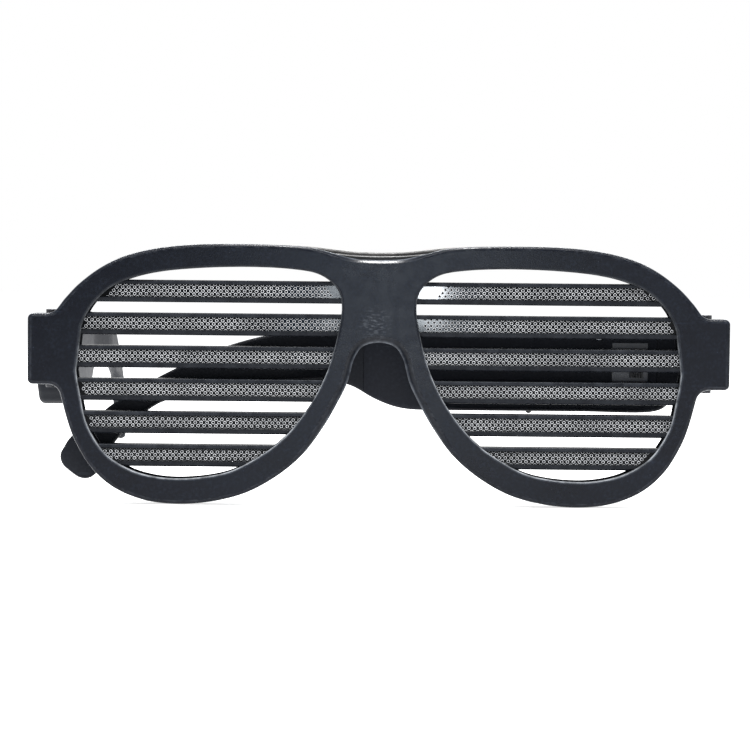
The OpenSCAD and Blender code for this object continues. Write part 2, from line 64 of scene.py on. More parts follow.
# Goes from 0 to 1 while a value passes from one limit to the other, whichever is larger, and is level at
# both: three times the square of the share of the way, less twice its cube
def rise(value, start, end):
    c = np.clip((value - start) / (end - start), 0, 1)
    return c * c * (3 - 2 * c)


# Vectors divided by their lengths
def unit(v):
    return v / np.linalg.norm(v, axis=-1, keepdims=True)


# Corner numbers of the quads of a grid, rows by columns, whose columns may close on themselves
def gridQuads(rows, cols, closed=False, first=0):
    r, c = np.meshgrid(np.arange(rows - 1), np.arange(cols if closed else cols - 1), indexing="ij")
    d = (c + 1) % cols
    here, below = r * cols, (r + 1) * cols
    return first + np.stack([here + c, here + d, below + d, below + c], -1).reshape(-1, 4)


# Collects grids of points with one number per point, and turns them into one closed mesh
class Surface:
    def __init__(self):
        self.points, self.marks = [], []
        self.faces, self.tones = [], []
        self.count = 0

    # Quads between neighbouring rings and, with caps, one face on the first and the last ring.
    # marks is the wear and painted highlight at each point, and tones gives one material number per band
    # between two rings.
    def add(self, rings, marks=0.0, closed=False, caps=False, tones=0):
        rings = np.asarray(rings, float)
        rows, cols = rings.shape[:2]
        self.faces += gridQuads(rows, cols, closed, self.count).tolist()
        self.tones += np.repeat(np.broadcast_to(tones, rows - 1), cols if closed else cols - 1).tolist()
        if caps:
            self.faces.append((self.count + np.arange(cols)).tolist())
            self.faces.append((self.count + (rows - 1) * cols + np.arange(cols)).tolist())
            self.tones += [0, 0]
        self.points.append(rings.reshape(-1, 3))
        self.marks.append(np.broadcast_to(np.asarray(marks, float), (rows, cols)).reshape(-1))
        self.count += rows * cols

    # Adds the mirror image on the other side of the middle plane; all faces are quads here
    def mirrored(self):
        p = np.vstack(self.points)
        self.faces += (np.array(self.faces) + self.count).tolist()
        self.tones += self.tones
        self.points.append(p * [-1, 1, 1])
        self.marks.append(np.concatenate(self.marks))
        self.count *= 2

    # Points nearer to each other than merge become one, edges under a quarter of it go, and faces turn
    # outwards. place takes the points to their final position.
    def mesh(self, name, merge=0.002, place=None):
        p = np.vstack(self.points)
        if place is not None:
            p = place(p)
        data = bpy.data.meshes.new(name)
        data.from_pydata((p * mm).tolist(), [], self.faces)
        data.polygons.foreach_set("material_index", self.tones)
        data.attributes.new("edge", "FLOAT", "POINT").data.foreach_set("value", np.concatenate(self.marks))
        b = bmesh.new()
        b.from_mesh(data)
        bmesh.ops.remove_doubles(b, verts=b.verts, dist=merge * mm)
        bmesh.ops.dissolve_degenerate(b, edges=b.edges, dist=merge * mm / 4)
        bmesh.ops.recalc_face_normals(b, faces=b.faces)
        b.to_mesh(data)
        b.free()
        return data


# A new object at the origin, in the scene
def addObject(name, data):
    o = bpy.data.objects.new(name, data)
    bpy.context.scene.collection.objects.link(o)
    return o


# A piece that rides on a body and stands for nodes; its shading breaks only at edges sharper than the angle
def newPiece(name, data, body, finishes, replaces, sharp=35):
    piece = addObject(name, data)
    data.polygons.foreach_set("use_smooth", np.ones(len(data.polygons), bool))
    data.set_sharp_from_angle(angle=radians(sharp))
    for m in finishes:
        data.materials.append(m)
    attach(piece, body)
    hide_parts(*replaces)
    return piece


# A round of two facets on every edge sharper than the angle
def softEdges(piece, width, angle):
    soft = piece.modifiers.new("edges", "BEVEL")
    soft.width = width * mm
    soft.segments = 2
    soft.limit_method = "ANGLE"
    soft.angle_limit = radians(angle)


# An empty material and its tree
def newMaterial(name):
    m = bpy.data.materials.new(name)
    m.use_nodes = True
    m.node_tree.nodes.clear()
    return m, m.node_tree


# A node with its settings; what starts with in_ sets the input of that number or name
def addNode(tree, kind, **values):
    n = tree.nodes.new(kind)
    for key, value in values.items():
        if key.startswith("in_"):
            n.inputs[int(key[3:]) if key[3:].isdigit() else key[3:].replace("_", " ")].default_value = value
        else:
            setattr(n, key, value)
    return n


# A link from an output to an input
def join(tree, source, target):
    tree.links.new(source, target)


# Gives a shader to the output of a material or of the world
def show(tree, shader, kind="ShaderNodeOutputMaterial"):
    out = addNode(tree, kind)
    join(tree, shader.outputs[0], out.inputs[0])


# The moulded surface. A pattern is a noise with so many grains to the metre, spread from its low and high to
# 0 and 1; light, rough and height say how much each adds to the colour, the roughness and the relief.
skin = dict(
    patterns=dict(mottle=dict(scale=55, detail=4, low=0.3, high=0.75),
                  cloud=dict(scale=16, detail=2, low=0.35, high=0.7),
                  blotch=dict(scale=330, detail=3, low=0.4, high=0.66),
                  speckle=dict(scale=1300, detail=2, low=0.42, high=0.68),
                  dustPatch=dict(scale=240, detail=2, low=0.52, high=0.62),
                  scuffLine=dict(scale=700, detail=2, low=0.655, high=0.7, stretch=(0.05, 1, 1)),
                  scuffPatch=dict(scale=70, detail=2, low=0.5, high=0.7),
                  wearPatch=dict(scale=420, detail=3, low=0.35, high=0.7, least=0.25),
                  sheenStreak=dict(scale=2300, detail=2, low=0.5, high=0.68, stretch=(0.35, 1, 1))),
    grain=(2600, 3), swell=(150, 2), noiseRoughness=0.55, specks=620, speckSize=(0.13, 0.03),
    # the painted sheen over the bridge: its centre, then how far off it is gone and within what it is whole
    sheenPlace=(-0.0008, 0, 0.0115), sheenReach=(0.0046, 0.0012),
    light=dict(mottle=0.05, cloud=0.04, speckle=0.1, speckleLeast=0.3, scuff=0.8),
    rough=dict(mottle=0.05, blotch=0.04, dust=0.4, scuff=0.15, grain=0.04),
    height=dict(swell=0.25, dust=0.3, scuff=0.3),
    bump=0.35, bumpDepth=0.00006, coatRoughness=0.12)


# One group for everything moulded: mottled colour, fine grain, dust, hairline scuffs, a painted sheen over
# the nose and worn edges that also carry painted highlight lines. It gives out only what varies: a colour, a
# roughness and a normal. The colour goes towards the light colour by the sum of the patterns, and then
# towards the edge colour by the edge marks, wear and painted highlight together, and by the painted sheen.
def mouldedGroup():
    g = bpy.data.node_groups.new("mouldedSurface", "ShaderNodeTree")
    for way, kind, labels in (("INPUT", "Color", ("Colour", "Light Colour", "Edge Colour")),
                              ("INPUT", "Float", ("Painted Sheen", "Roughness", "Grain", "Scuffs", "Dust")),
                              ("OUTPUT", "Color", ("Colour",)),
                              ("OUTPUT", "Float", ("Roughness",)),
                              ("OUTPUT", "Vector", ("Normal",))):
        for label in labels:
            g.interface.new_socket(name=label, in_out=way, socket_type="NodeSocket" + kind)
    into = addNode(g, "NodeGroupInput").outputs
    out = addNode(g, "NodeGroupOutput").inputs
    where = addNode(g, "ShaderNodeTexCoord").outputs["Object"]

    # a noise on the place, which stretch can draw out along an axis
    def noise(scale, detail, stretch=None):
        n = addNode(g, "ShaderNodeTexNoise", in_Scale=scale, in_Detail=detail,
                    in_Roughness=skin["noiseRoughness"])
        if stretch:
            m = addNode(g, "ShaderNodeMapping", in_Scale=stretch)
            join(g, where, m.inputs["Vector"])
            join(g, m.outputs["Vector"], n.inputs["Vector"])
        else:
            join(g, where, n.inputs["Vector"])
        return n.outputs["Fac"]

    # low becomes least and high becomes 1, in a straight line and no further
    def between(source, low, high, least=0.0):
        n = addNode(g, "ShaderNodeMapRange", in_1=low, in_2=high, in_3=least, in_4=1.0)
        join(g, source, n.inputs[0])
        return n.outputs[0]

    # a named noise, spread to its own range
    def pattern(name):
        p = skin["patterns"][name]
        source = noise(p["scale"], p["detail"], p.get("stretch"))
        return between(source, p["low"], p["high"], p.get("least", 0.0))

    # the first value with each further one, by one operation
    def calc(operation, first, *rest):
        for term in rest:
            n = addNode(g, "ShaderNodeMath", operation=operation)
            for socket, v in zip(n.inputs, (first, term)):
                if isinstance(v, (int, float)):
                    socket.default_value = v
                else:
                    join(g, v, socket)
            first = n.outputs[0]
        return first

    def times(*factors):
        return calc("MULTIPLY", *factors)

    def total(*terms):
        return calc("ADD", *terms)

    # a share of 0 gives the first colour, and 1 or more the second
    def mixed(share, first, second):
        n = addNode(g, "ShaderNodeMix", data_type="RGBA")
        join(g, calc("MINIMUM", share, 1.0), n.inputs["Factor"])
        join(g, first, n.inputs[6])
        join(g, second, n.inputs[7])
        return n.outputs[2]

    mottle, blotch = pattern("mottle"), pattern("blotch")
    grain = noise(*skin["grain"])
    specks = addNode(g, "ShaderNodeTexVoronoi", in_Scale=skin["specks"])
    join(g, where, specks.inputs["Vector"])
    dust = times(between(specks.outputs["Distance"], *skin["speckSize"]), pattern("dustPatch"), into["Dust"])
    scuff = times(pattern("scuffLine"), pattern("scuffPatch"), into["Scuffs"])
    # the edge marks are partly wear and partly painted highlight lines along edges, broken up by the wear
    # patches
    edge = addNode(g, "ShaderNodeAttribute", attribute_name="edge").outputs["Fac"]
    wornAndHighlit = times(edge, pattern("wearPatch"))
    # a painted sheen: a streaked light patch over the bridge, whole near its middle, as strong as the finish
    # gives
    far = addNode(g, "ShaderNodeVectorMath", operation="DISTANCE")
    join(g, where, far.inputs[0])
    far.inputs[1].default_value = skin["sheenPlace"]
    sheen = times(between(far.outputs["Value"], *skin["sheenReach"]), into["Painted Sheen"], pattern("sheenStreak"))

    k = skin["light"]
    speckle = times(pattern("speckle"), k["speckle"], total(blotch, k["speckleLeast"]))
    light = total(times(mottle, k["mottle"]), times(pattern("cloud"), k["cloud"]), speckle,
                  total(dust, times(scuff, k["scuff"])))
    colour = mixed(light, into["Colour"], into["Light Colour"])
    join(g, mixed(total(wornAndHighlit, sheen), colour, into["Edge Colour"]), out["Colour"])

    k = skin["rough"]
    uneven = [times(calc("SUBTRACT", mottle, 0.5), k["mottle"]),
              times(calc("SUBTRACT", blotch, 0.5), k["blotch"])]
    dull = total(times(dust, k["dust"]), times(scuff, k["scuff"]))
    join(g, total(into["Roughness"], *uneven, dull, times(grain, k["grain"])), out["Roughness"])

    k = skin["height"]
    swell = times(noise(*skin["swell"]), k["swell"])
    spots = calc("SUBTRACT", times(dust, k["dust"]), times(scuff, k["scuff"]))
    bump = addNode(g, "ShaderNodeBump", in_Strength=skin["bump"], in_Distance=skin["bumpDepth"])
    join(g, total(times(grain, into["Grain"]), swell, spots), bump.inputs["Height"])
    join(g, bump.outputs["Normal"], out["Normal"])
    return g


moulded = mouldedGroup()


# A moulded plastic: the group with this finish's values, and the gloss on the shader's own sockets
def plastic(name, colour, light, rough, grain=0.3, scuffs=0.3, dust=0.35, level=0.5, coat=0.0, edge=None,
            paintedSheen=0.0, metallic=0.0):
    m, tree = newMaterial(name)
    shader = addNode(tree, "ShaderNodeBsdfPrincipled", in_Specular_IOR_Level=level, in_Coat_Weight=coat,
                     in_Coat_Roughness=skin["coatRoughness"], in_Metallic=metallic)
    g = addNode(tree, "ShaderNodeGroup", node_tree=moulded)
    values = {"Colour": colour + (1,), "Light Colour": light + (1,), "Edge Colour": (edge or light) + (1,),
              "Painted Sheen": paintedSheen, "Roughness": rough, "Grain": grain, "Scuffs": scuffs, "Dust": dust}
    for label, value in values.items():
        g.inputs[label].default_value = value
    for label, socket in (("Colour", "Base Color"), ("Roughness", "Roughness"), ("Normal", "Normal")):
        join(tree, g.outputs[label], shader.inputs[socket])
    show(tree, shader)
    return m


# A metal has the same grain, with more scuffs and less dust
def metal(name, colour, light, rough):
    return plastic(name, colour, light, rough, grain=0.5, scuffs=0.6, dust=0.15, metallic=1.0)


# The look of the clear strips: from the pocket behind them, painted as shade, to painted highlights on the
# lenslets' crests
clearLook = dict(level=0.06, pocket=(0.0015, 0.002, 0.003, 1), flank=(0.125, 0.131, 0.14, 1),
                 paintedHighlight=(0.92, 0.93, 0.95, 1), patchScale=150, patchDetail=3, patchRange=(0.3, 0.7),
                 dullest=0.8, rough=(0.03, 0.09))


# Painted shade where the pocket shows through and a painted highlight on the crests: the highlight mark,
# dulled in patches, is the place on a ramp of three colours
def lensMaterial():
    k = clearLook
    (low, high), (smoothest, roughest) = k["patchRange"], k["rough"]
    m, tree = newMaterial("clearLens")
    shader = addNode(tree, "ShaderNodeBsdfPrincipled", in_Specular_IOR_Level=k["level"])
    paintedHighlight = addNode(tree, "ShaderNodeAttribute", attribute_name="paintedHighlight")
    where = addNode(tree, "ShaderNodeTexCoord")
    patch = addNode(tree, "ShaderNodeTexNoise", in_Scale=k["patchScale"], in_Detail=k["patchDetail"])
    vary = addNode(tree, "ShaderNodeMapRange", in_1=low, in_2=high, in_3=k["dullest"], in_4=1.0)
    both = addNode(tree, "ShaderNodeMath", operation="MULTIPLY")
    tint = addNode(tree, "ShaderNodeValToRGB")
    stops = tint.color_ramp.elements
    stops[0].color = k["pocket"]
    stops[1].color = k["paintedHighlight"]
    stops.new(0.5).color = k["flank"]
    rough = addNode(tree, "ShaderNodeMapRange", in_1=0.0, in_2=1.0, in_3=smoothest, in_4=roughest)
    for source, output, target, socket in (
            (where, "Object", patch, "Vector"), (patch, "Fac", vary, 0), (paintedHighlight, "Fac", both, 0),
            (vary, 0, both, 1), (both, 0, tint, 0), (tint, 0, shader, "Base Color"),
            (patch, "Fac", rough, 0), (rough, 0, shader, "Roughness")):
        join(tree, source.outputs[output], target.inputs[socket])
    show(tree, shader)
    return m


# Each finish: its name, colour, light colour and roughness, and then what differs from the usual. Wear and
# painted highlight lines take the edge colour, and the front's last value is the strength of its painted
# sheen
finish = dict(
    front=plastic("frontPlastic", (0.0003, 0.0008, 0.003), (0.034, 0.046, 0.074), 0.2, grain=0.35, level=0.11,
                  edge=(0.15, 0.165, 0.19), paintedSheen=0.3),
    rear=plastic("rearPlastic", (0.005, 0.0047, 0.0046), (0.06, 0.057, 0.055), 0.3, grain=0.5, level=0.2,
                 edge=(0.17, 0.165, 0.16)),
    wall=plastic("wallPlastic", (0.008, 0.009, 0.011), (0.06, 0.062, 0.068), 0.7, grain=0.8, scuffs=0.1,
                 level=0.0, edge=(0.42, 0.44, 0.47)),
    bar=plastic("barPlastic", (0.0014, 0.002, 0.0038), (0.035, 0.04, 0.05), 0.26, level=0.07,
                edge=(0.05, 0.055, 0.065)),
    temple=plastic("templePlastic", (0.0065, 0.0075, 0.011), (0.05, 0.058, 0.072), 0.55, grain=0.5,
                   scuffs=0.45, level=0.12),
    cover=plastic("coverPlastic", (0.005, 0.0062, 0.0105), (0.05, 0.058, 0.076), 0.5, grain=0.4, level=0.12),
    recess=plastic("recessPlastic", (0.008, 0.011, 0.024), (0.06, 0.07, 0.11), 0.25, grain=0.2, level=0.3,
                   coat=0.1),
    control=plastic("controlPlastic", (0.02, 0.021, 0.024), (0.12, 0.12, 0.125), 0.48, grain=0.9, level=0.4),
    board=plastic("boardGreen", (0.012, 0.075, 0.035), (0.06, 0.2, 0.1), 0.35, grain=0.4, scuffs=0.0,
                  coat=0.4),
    led=plastic("ledPackage", (0.72, 0.69, 0.45), (0.85, 0.84, 0.75), 0.35, grain=0.2, scuffs=0.0),
    flex=plastic("flexFilm", (0.32, 0.12, 0.02), (0.5, 0.24, 0.06), 0.28, grain=0.2, scuffs=0.1),
    battery=plastic("batteryWrap", (0.5, 0.51, 0.54), (0.66, 0.67, 0.7), 0.3, grain=0.6),
    foam=plastic("foamBlack", (0.02, 0.02, 0.021), (0.07, 0.07, 0.07), 0.9, grain=2.0, scuffs=0.0, dust=0.5),
    screw=metal("screwSteel", (0.16, 0.165, 0.175), (0.4, 0.41, 0.43), 0.34),
    pin=metal("pinBlack", (0.035, 0.036, 0.04), (0.16, 0.16, 0.17), 0.36),
    tin=metal("tinnedMetal", (0.5, 0.51, 0.53), (0.75, 0.76, 0.78), 0.3),
    lens=lensMaterial())
print("materials: %d finishes" % len(finish))

# The frame, right half: its outline runs from the middle of the bridge round to the nose arch. A pair of
# limits for x or z says where a form is not there yet and where it is whole.
rim = dict(
    halfWidth=80, frontDepth=4.5, rearDepth=3.5,
    topDip=[(0, 1), (5.5, 0.92), (10.5, 0.5), (15.5, 0.12)],
    topEdge=[27.8, 27.95, 28.45, 29],
    top=[(22, 29.35), (32, 29.5), (42, 29.3), (50.5, 28.4), (57.8, 26.6), (63.4, 23.9), (68.3, 20.2),
         (71.7, 16.6)],
    bottom=[(72.4, -5.4), (70.9, -11), (69, -15.9), (65.4, -21.7), (60.3, -26.2), (53.5, -29), (46, -29.9),
            (38, -29.3), (30, -27.2), (22.8, -23.2), (16.8, -18), (12.3, -11.8), (9.2, -6.3), (7.3, -2.4),
            (6.4, 0.6), (5.65, 3.4), (4.2, 5.9), (2.3, 7), (0, 7.35)],
    bridgeDip=1.7, lugTop=13.3, lugBottom=-2.8, lugCorner=1.2,
    topFillet=3.5, topIn=4.1, topFrom=215, bottomFillet=3, bottomIn=4.6, bottomTo=160,
    opening=[(29.5, 24.3), (20, 23.9), (13.6, 22.7), (9.6, 19.5), (8.5, 15.3), (9.4, 9), (11.2, 2.1),
             (13.9, -4.2), (17.2, -9.5), (21.4, -14.5), (26, -18.2), (32.6, -21.9), (38.5, -23.5),
             (45.5, -24.1), (51.5, -23.6), (57, -21.9), (62.4, -18.3), (66.35, -12), (67.9, -5.6),
             (68.95, 1.2), (68.5, 7.6), (66.2, 14), (61.8, 18.9), (56.5, 21.5), (49.5, 23.1), (40, 24)],
    eyeCentre=(39, 6.5), edgeSteps=18, openingSteps=24, filletSteps=14, cornerSteps=12, seamSteps=42,
    roundSteps=6,
    frontRound=0.8, noseRound=dict(radius=1.6, x=(20, 12), z=(14, 10)),
    rearRound=1.2, lugRound=dict(radius=0.4, x=(72, 75)),
    bridgeChamfer=dict(share=0.85, x=(16, 7), z=(18, 22)),
    noseChamfer=dict(share=0.75, x=(17, 11), z=(14, 10)),
    # the marks on the edges below are wear and painted highlight lines, on the opening's edge fuller low down
    openingRound=0.45, openingWearAndHighlight=(0.25, 1), openingWearAndHighlightZ=(8, 2),
    wallBands=5, faceSteps=(0.03, 0.35, 0.65, 0.97, 1),
    edgeWearAndHighlight=dict(face=0.16, faceSharp=8, wall=0.9, opening=1, outer=10), wearAndHighlightBelow=[(0.05, 0.6), (0.3, 0)],
    partingCut=0.14, partingWearAndHighlight=[(30, 0.3), (60, 0.6), (90, 0.4)],
    lip=dict(height=0.16, round=2, x=(28, 18), z=(20, 23)),
    bead=[(0, 0, 0.2), (2.2, 0, 0), (3.4, 1, 0.5), (5, 1, 0)])
rimDepth = rim["frontDepth"] + rim["rearDepth"]
openingCurve = throughKnots(rim["opening"], rim["openingSteps"], closed=True)


# Curves through the upper and the lower knots, joined by the lug's fillets and corners; dip lowers the bridge
def halfOutline(dip):
    r = rim
    bridge = [(x, z - dip * share) for (x, share), z in zip(r["topDip"], r["topEdge"])]
    w, c = r["halfWidth"], r["lugCorner"]
    upper = (w - r["topIn"], r["lugTop"] + r["topFillet"])
    lower = (w - r["bottomIn"], r["lugBottom"] - r["bottomFillet"])
    return np.vstack([
        throughKnots(bridge + r["top"], r["edgeSteps"]),
        arcPoints(upper, r["topFillet"], r["topFrom"], 270, r["filletSteps"]),
        arcPoints((w - c, r["lugTop"] - c), c, 90, 0, r["cornerSteps"]),
        arcPoints((w - c, r["lugBottom"] + c), c, 0, -90, r["cornerSteps"]),
        arcPoints(lower, r["bottomFillet"], 90, r["bottomTo"], r["filletSteps"]),
        throughKnots(r["bottom"], r["edgeSteps"])])


# Outward normals of a path that runs clockwise, level or upright where it meets the middle plane
def leftNormals(path, closed=False):
    if closed:
        t = np.roll(path, -1, 0) - np.roll(path, 1, 0)
    else:
        t = np.gradient(path, axis=0)
        t[0], t[-1] = (1, 0), (-1, 0)
    return unit(np.column_stack([-t[:, 1], t[:, 0]]))


# The share of a form at each point of the outline: the rise along x times the rise along z
def shareOf(form, p):
    return rise(np.abs(p[:, 0]), *form["x"]) * (rise(p[:, 1], *form["z"]) if "z" in form else 1)


# The radius of a face's edge goes from its usual value to a form's own: in front it grows round the nose
# arch, and behind it shrinks at the lugs
def edgeRadius(usual, form, p):
    return usual + (form["radius"] - usual) * shareOf(form, p)


# How far the front edge's quarter round is flattened to a chamfer: over the bridge and round the nose arch
def chamferShare(p):
    return sum(form["share"] * shareOf(form, p) for form in (rim["bridgeChamfer"], rim["noseChamfer"]))


# How high the rear shell's lip stands over the bridge
def lipHeight(p):
    return rim["lip"]["height"] * shareOf(rim["lip"], p)


# Wear and painted highlight lines lie on both borders of a rounded edge: a power of the cosine at the face
# and of the sine at the wall, narrower there on the outer edge than on the opening's
def edgeWearAndHighlight(a, edge):
    w = rim["edgeWearAndHighlight"]
    return w["face"] * cos(a) ** w["faceSharp"] + w["wall"] * sin(a) ** w[edge]


# The direction of each point as seen from the eye's centre
def rayAngles(p):
    x, z = (p - rim["eyeCentre"]).T
    return np.arctan2(z, x)


# The opening's point and outward normal on each ray from the eye's centre, between its points in even shares
def openingOnRays(angles):
    a = rayAngles(openingCurve)
    order = np.argsort(a)
    known = np.column_stack([openingCurve, -leftNormals(openingCurve, closed=True)])
    found = np.column_stack([np.interp(angles, a[order], v[order], period=2 * pi) for v in known.T])
    return found[:, :2], unit(found[:, 2:])


# Points (x, z) at the depth y
def atDepth(p, y):
    return np.column_stack([p[:, 0], np.broadcast_to(y, len(p)), p[:, 1]])


# A half shell: quarter rounds join a flat face to its outer wall and to the wall of the lens opening. Each
# ring of the faces runs round the eye on the same rays, and its part along the middle plane is the seam of
# the two halves.
def halfShell(outline, radius, flat, depth, lip=0.0):
    s = Surface()
    n = leftNormals(outline)
    lip = np.broadcast_to(lip, len(outline))
    cut = rim["partingCut"] + rim["lip"]["round"] * lip
    turn = np.radians(np.linspace(90, 0, rim["roundSteps"]))

    # a path from the bridge to the nose arch, closed by points up the middle plane
    def withSeam(path):
        z = np.linspace(path[-1, 1], path[0, 1], rim["seamSteps"])[1:-1]
        return np.vstack([path, np.column_stack([np.zeros(len(z)), z])])

    # the opening's wall, its rounded edge and the face
    faceEdge = withSeam(outline - radius[:, None] * n)
    o, on = openingOnRays(rayAngles(faceEdge))
    g = rim["openingRound"]
    flare = o + g * on
    rings = [atDepth(o, depth), atDepth(o, depth / 2)]
    rings += [atDepth(o + g * (1 - sin(a)) * on, g * (1 - cos(a))) for a in turn]
    rings += [atDepth(flare + f * (faceEdge - flare), 0) for f in rim["faceSteps"]]
    marks = [0, 0] + [edgeWearAndHighlight(a, "opening") for a in turn] + [0] * len(rim["faceSteps"])
    # the opening's edge carries wear and painted highlight lines, fuller towards the bottom
    least, most = rim["openingWearAndHighlight"]
    lower = least + (most - least) * rise(o[:, 1], *rim["openingWearAndHighlightZ"])
    tones = [1] * rim["wallBands"] + [0] * (len(rings) - 1 - rim["wallBands"])
    s.add(rings, np.array(marks)[:, None] * lower, closed=True, tones=tones)

    # the face's outer edge, between a quarter round and a chamfer, the outer wall and the parting edge
    rings, marks = [], []
    for a in turn[::-1]:
        share = 2 * a / pi
        inward = radius * ((1 - flat) * (1 - sin(a)) + flat * (1 - share))
        down = radius * ((1 - flat) * (1 - cos(a)) + flat * share)
        rings.append(atDepth(outline - inward[:, None] * n, down))
        marks.append(edgeWearAndHighlight(a, "outer"))
    # below the round and round the parting edge the marks are wear and painted highlight lines
    for below, mark in rim["wearAndHighlightBelow"]:
        rings.append(atDepth(outline, radius + below))
        marks.append(mark)
    for angle, mark in [(0, 0)] + rim["partingWearAndHighlight"]:
        a = radians(angle)
        rings.append(atDepth(outline - (cut * (1 - cos(a)))[:, None] * n, depth - cut * (1 - sin(a))))
        marks.append(mark)
    s.add(rings, np.array(marks)[:, None])

    # the parting face, which carries a low bead along the lip: how far in, how high, and how much wear and
    # painted highlight each line carries
    backEdge = withSeam(outline - cut[:, None] * n)
    seam = len(backEdge) - len(outline)
    width = np.concatenate([lip, np.zeros(seam)])
    way = np.vstack([n, np.zeros((seam, 2))])
    bead = [atDepth(backEdge - (k * width)[:, None] * way, depth + h * width) for k, h, mark in rim["bead"]]
    wall = atDepth(o, depth)
    marks = [0, 0] + [mark for k, h, mark in rim["bead"][::-1]]
    s.add([wall, (wall + bead[-1]) / 2] + bead[::-1], np.array(marks)[:, None], closed=True)
    s.mirrored()
    return s


outline = halfOutline(rim["bridgeDip"])
radius = edgeRadius(rim["frontRound"], rim["noseRound"], outline)
front = halfShell(outline, radius, chamferShare(outline), rim["frontDepth"])
frontMesh = front.mesh("frontShell")
newPiece("frontShell", frontMesh, "frame", [finish["front"], finish["wall"]],
         ["front_frame"])
outline = halfOutline(0)
radius = edgeRadius(rim["rearRound"], rim["lugRound"], outline)
rear = halfShell(outline, radius, 0.0, rim["rearDepth"], lipHeight(outline))
rearMesh = rear.mesh("rearShell", place=lambda p: p * [1, -1, 1] + [0, rimDepth, 0])
newPiece("rearShell", rearMesh, "frame", [finish["rear"], finish["wall"]], ["rear_frame"])
print("rims: %d and %d faces" % (len(frontMesh.polygons), len(rearMesh.polygons)))

# The light bars: one channel section carried along x between the opening's walls, grown by the seat
bar = dict(count=6, pitch=7.5, height=4.8, under=0.25, recess=1.2, depth=5.8, seat=1.5, fit=0.05,
           topWall=0.9, bottomWall=0.95, stripBack=0.45, stripDepth=1.0, stripSeat=0.9,
           ledge=0.25, boardGap=1.25, board=0.8, sharp=50,
           topRound=0.2, footRound=0.35, backRound=(1, 0.9), bevel=0.13, bevelAngle=40,
           stations=(0, 0.004, 0.996, 1),
           # a mark per point of the section, wear and painted highlight, most along the front's upper corner
           wearAndHighlight=[0.5, 0.6, 0, 0, 0, 0, 0.1, 0.3, 0.15, 0, 0, 0, 0, 0, 0, 0.3])


# The height of a bar's middle: bars are numbered from the top, a pitch apart, about the lens's middle
def barZ(i):
    return ((bar["count"] + 1) / 2 - i) * bar["pitch"]


# Where lines of constant height cross the opening grown by a distance: the lowest and highest x. A level span
# has no share to find, so its step counts as 1.
def spanAt(z, grow):
    p = openingCurve - grow * leftNormals(openingCurve, closed=True)
    q = np.roll(p, -1, 0)
    z = np.atleast_1d(z)[:, None]
    hit = (p[:, 1] - z) * (q[:, 1] - z) <= 0
    step = np.where(q[:, 1] == p[:, 1], 1, q[:, 1] - p[:, 1])
    x = p[:, 0] + (q[:, 0] - p[:, 0]) * (z - p[:, 1]) / step
    return np.where(hit, x, np.inf).min(1), np.where(hit, x, -np.inf).max(1)


# The channel's section as (y, z): round the outside from the upper front corner, then through the strip's
# seat and the board's pocket behind it
def barSection():
    b = bar
    top, foot = b["height"] / 2, -b["height"] / 2 - b["under"]
    face, rearFace = b["recess"], b["recess"] + b["depth"]
    stripBack = face + b["stripBack"] + b["stripDepth"]
    pocket = stripBack + b["boardGap"] + b["board"]
    high, low = top - b["topWall"], b["bottomWall"] - top
    (backY, backZ), r, f = b["backRound"], b["topRound"], b["footRound"]
    return np.array([(face, top - r), (face + r, top), (rearFace - backY, top), (rearFace, top - backZ),
                     (rearFace, foot + backZ), (rearFace - backY, foot), (face + f, foot), (face, foot + f),
                     (face, low), (stripBack, low), (stripBack, low + b["ledge"]), (pocket, low + b["ledge"]),
                     (pocket, high - b["ledge"]), (stripBack, high - b["ledge"]), (stripBack, high),
                     (face, high)])


# A bar: every line of its section runs from one wall of the opening to the other
def lightBar(key, side, i):
    section = barSection()
    z = section[:, 1] + barZ(i)
    low, high = spanAt(z, bar["seat"] - bar["fit"])
    x = low + np.array(bar["stations"])[:, None] * (high - low)
    rings = np.stack([side * x, np.broadcast_to(section[:, 0], x.shape), np.broadcast_to(z, x.shape)], -1)
    s = Surface()
    # the section's marks are wear and painted highlight along the bar
    s.add(rings, bar["wearAndHighlight"], closed=True, caps=True)
    name = "lightBar_" + key
    piece = newPiece(name, s.mesh(name), "frame", [finish["bar"]], ["light_bar_" + key],
                     bar["sharp"])
    softEdges(piece, bar["bevel"], bar["bevelAngle"])


for sideName, side in sides.items():
    for i in range(1, bar["count"] + 1):
        lightBar("%s_%d" % (sideName, i), side, i)
print("light bars: %d" % (2 * bar["count"]))

# The clear strips carry rows of small ring lenslets, alternate rows half a pitch along, cut off by the
# strip's edges. blankEnd is the stretch without them at the nose, and paintedHighlightEnd is the strength of
# a painted highlight on one.
lens = dict(pitch=1.355, rowGap=0.752, firstRow=0.72, rowPhase=0.2, rowOverhang=0.8,
            radius=0.405, height=0.17, sink=0.004, segments=12, margin=0.4, stripFit=0.05, edgeClear=0.01,
            sharp=80, blankEnd=dict(right_1=5.2, left_1=2.2, right_2=1.6),
            paintedHighlightEnd=dict(right_1=1.1), paintedHighlightReach=(0.8, 2),
            outerInset=dict(left=[1.1, 0.7, 0.4, 1.3, 1.3, 0.7], right=[0.7, 0.9, 0.2, 0.4, 0.3, 0.9]),
            middleRows=0.8, outerShine=0.85, shineOf=dict(left_5=0.6, left_6=0.55, right_6=0.75),
            # each ring of a lenslet's profile: share of the radius, share of the height and painted highlight
            profile=[(1, 0, 0), (0.93, 0.6, 1), (0.75, 1, 1), (0.62, 0.6, 0.5), (0.48, 0.1, 0)])


